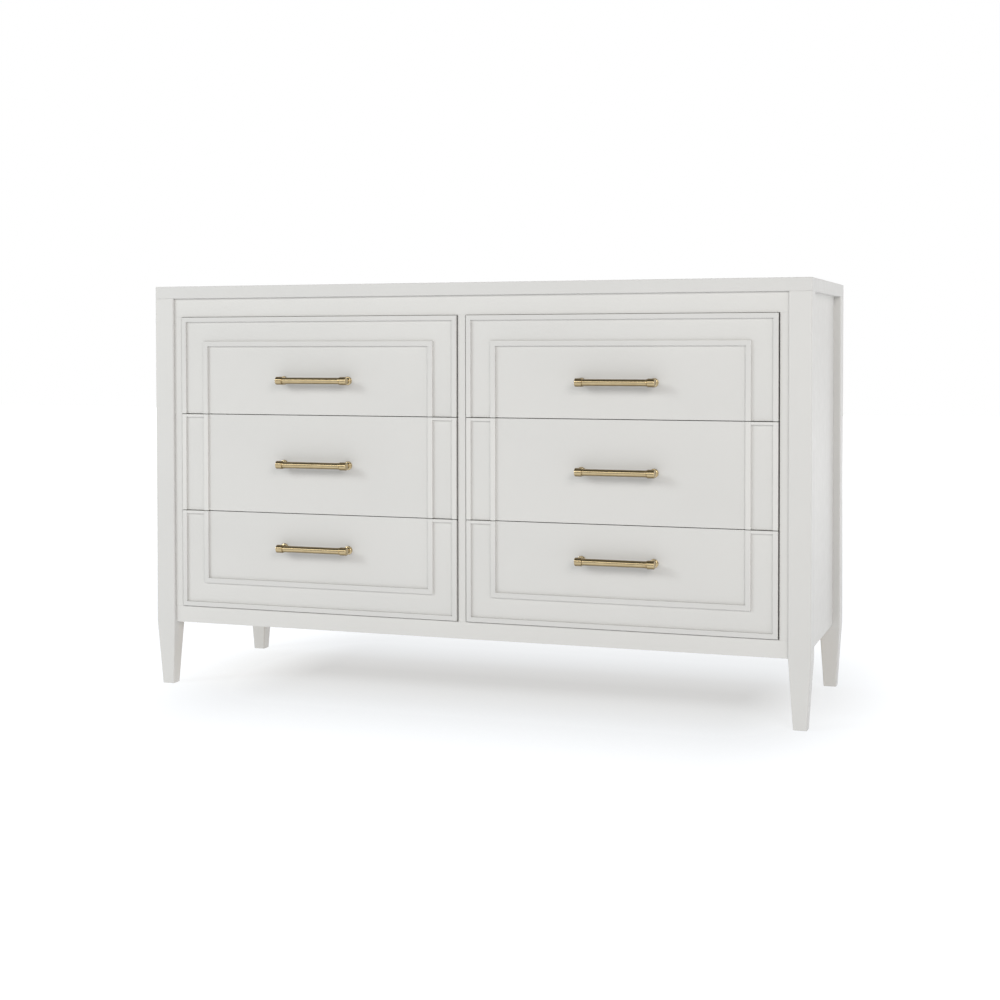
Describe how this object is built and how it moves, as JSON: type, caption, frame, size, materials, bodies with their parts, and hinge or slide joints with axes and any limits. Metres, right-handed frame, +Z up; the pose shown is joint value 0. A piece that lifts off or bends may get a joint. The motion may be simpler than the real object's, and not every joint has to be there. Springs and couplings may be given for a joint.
{
  "type": "six-drawer dresser",
  "caption": "Wide painted wood dresser on tapered legs, with two columns of inset drawers, applied mouldings and brass bar pulls.",
  "frame": {"origin": "floor level, under the middle of the whole dresser with its pulls", "axes": "+X to the dresser's right as seen from the front, -Y out of its front, +Z up"},
  "size_m": [1.408, 0.511, 0.864],
  "materials": {
    "painted_wood": "satin off-white paint",
    "drawer_box_wood": "clear satin lacquer on hardwood",
    "bare_plywood": "sanded plywood",
    "bare_hardwood": "planed hardwood",
    "brass": "satin brushed",
    "slide_steel": "zinc plated"
  },
  "bodies": {
    "carcass": {"top_panel": "painted_wood", "post_front_left": "painted_wood", "post_front_right": "painted_wood", "post_back_left": "painted_wood", "post_back_right": "painted_wood", "rail_front_top": "painted_wood", "rail_front_bottom": "painted_wood", "stile_left": "painted_wood", "stile_right": "painted_wood", "stile_centre": "painted_wood", "side_panel_left": "painted_wood", "side_panel_right": "painted_wood", "back_panel": "painted_wood", "back_rails": "painted_wood", "centre_partition": "bare_plywood", "bottom_panel": "bare_plywood", "slide_cleats": "bare_hardwood", "slide_cabinet_members": "slide_steel"},
    "drawer_left_bottom": {"drawer_left_bottom_front": "painted_wood", "drawer_left_bottom_mouldings": "painted_wood", "drawer_left_bottom_box": "drawer_box_wood", "drawer_left_bottom_bottom": "bare_plywood", "drawer_left_bottom_pull": "brass", "drawer_left_bottom_slide_members": "slide_steel"},
    "slide_left_bottom": {"slide_left_bottom_middle_members": "slide_steel"},
    "drawer_left_middle": {"drawer_left_middle_front": "painted_wood", "drawer_left_middle_mouldings": "painted_wood", "drawer_left_middle_box": "drawer_box_wood", "drawer_left_middle_bottom": "bare_plywood", "drawer_left_middle_pull": "brass", "drawer_left_middle_slide_members": "slide_steel"},
    "slide_left_middle": {"slide_left_middle_middle_members": "slide_steel"},
    "drawer_left_top": {"drawer_left_top_front": "painted_wood", "drawer_left_top_mouldings": "painted_wood", "drawer_left_top_box": "drawer_box_wood", "drawer_left_top_bottom": "bare_plywood", "drawer_left_top_pull": "brass", "drawer_left_top_slide_members": "slide_steel"},
    "slide_left_top": {"slide_left_top_middle_members": "slide_steel"},
    "drawer_right_bottom": {"drawer_right_bottom_front": "painted_wood", "drawer_right_bottom_mouldings": "painted_wood", "drawer_right_bottom_box": "drawer_box_wood", "drawer_right_bottom_bottom": "bare_plywood", "drawer_right_bottom_pull": "brass", "drawer_right_bottom_slide_members": "slide_steel"},
    "slide_right_bottom": {"slide_right_bottom_middle_members": "slide_steel"},
    "drawer_right_middle": {"drawer_right_middle_front": "painted_wood", "drawer_right_middle_mouldings": "painted_wood", "drawer_right_middle_box": "drawer_box_wood", "drawer_right_middle_bottom": "bare_plywood", "drawer_right_middle_pull": "brass", "drawer_right_middle_slide_members": "slide_steel"},
    "slide_right_middle": {"slide_right_middle_middle_members": "slide_steel"},
    "drawer_right_top": {"drawer_right_top_front": "painted_wood", "drawer_right_top_mouldings": "painted_wood", "drawer_right_top_box": "drawer_box_wood", "drawer_right_top_bottom": "bare_plywood", "drawer_right_top_pull": "brass", "drawer_right_top_slide_members": "slide_steel"},
    "slide_right_top": {"slide_right_top_middle_members": "slide_steel"}
  },
  "joints": [
    {"name": "drawer_left_bottom_slide", "type": "slide", "parent": "carcass", "child": "drawer_left_bottom", "axis": [0, -1, 0], "range_m": [0, 0.38]},
    {"name": "slide_left_bottom_slide", "type": "slide", "parent": "carcass", "child": "slide_left_bottom", "axis": [0, -1, 0], "range_m": [0, 0.19]},
    {"name": "drawer_left_middle_slide", "type": "slide", "parent": "carcass", "child": "drawer_left_middle", "axis": [0, -1, 0], "range_m": [0, 0.38]},
    {"name": "slide_left_middle_slide", "type": "slide", "parent": "carcass", "child": "slide_left_middle", "axis": [0, -1, 0], "range_m": [0, 0.19]},
    {"name": "drawer_left_top_slide", "type": "slide", "parent": "carcass", "child": "drawer_left_top", "axis": [0, -1, 0], "range_m": [0, 0.38]},
    {"name": "slide_left_top_slide", "type": "slide", "parent": "carcass", "child": "slide_left_top", "axis": [0, -1, 0], "range_m": [0, 0.19]},
    {"name": "drawer_right_bottom_slide", "type": "slide", "parent": "carcass", "child": "drawer_right_bottom", "axis": [0, -1, 0], "range_m": [0, 0.38]},
    {"name": "slide_right_bottom_slide", "type": "slide", "parent": "carcass", "child": "slide_right_bottom", "axis": [0, -1, 0], "range_m": [0, 0.19]},
    {"name": "drawer_right_middle_slide", "type": "slide", "parent": "carcass", "child": "drawer_right_middle", "axis": [0, -1, 0], "range_m": [0, 0.38]},
    {"name": "slide_right_middle_slide", "type": "slide", "parent": "carcass", "child": "slide_right_middle", "axis": [0, -1, 0], "range_m": [0, 0.19]},
    {"name": "drawer_right_top_slide", "type": "slide", "parent": "carcass", "child": "drawer_right_top", "axis": [0, -1, 0], "range_m": [0, 0.38]},
    {"name": "slide_right_top_slide", "type": "slide", "parent": "carcass", "child": "slide_right_top", "axis": [0, -1, 0], "range_m": [0, 0.19]}
  ],
  "couplings": [
    {"joint": "slide_left_bottom_slide", "follows": "drawer_left_bottom_slide", "ratio": 0.5},
    {"joint": "slide_left_middle_slide", "follows": "drawer_left_middle_slide", "ratio": 0.5},
    {"joint": "slide_left_top_slide", "follows": "drawer_left_top_slide", "ratio": 0.5},
    {"joint": "slide_right_bottom_slide", "follows": "drawer_right_bottom_slide", "ratio": 0.5},
    {"joint": "slide_right_middle_slide", "follows": "drawer_right_middle_slide", "ratio": 0.5},
    {"joint": "slide_right_top_slide", "follows": "drawer_right_top_slide", "ratio": 0.5}
  ]
}
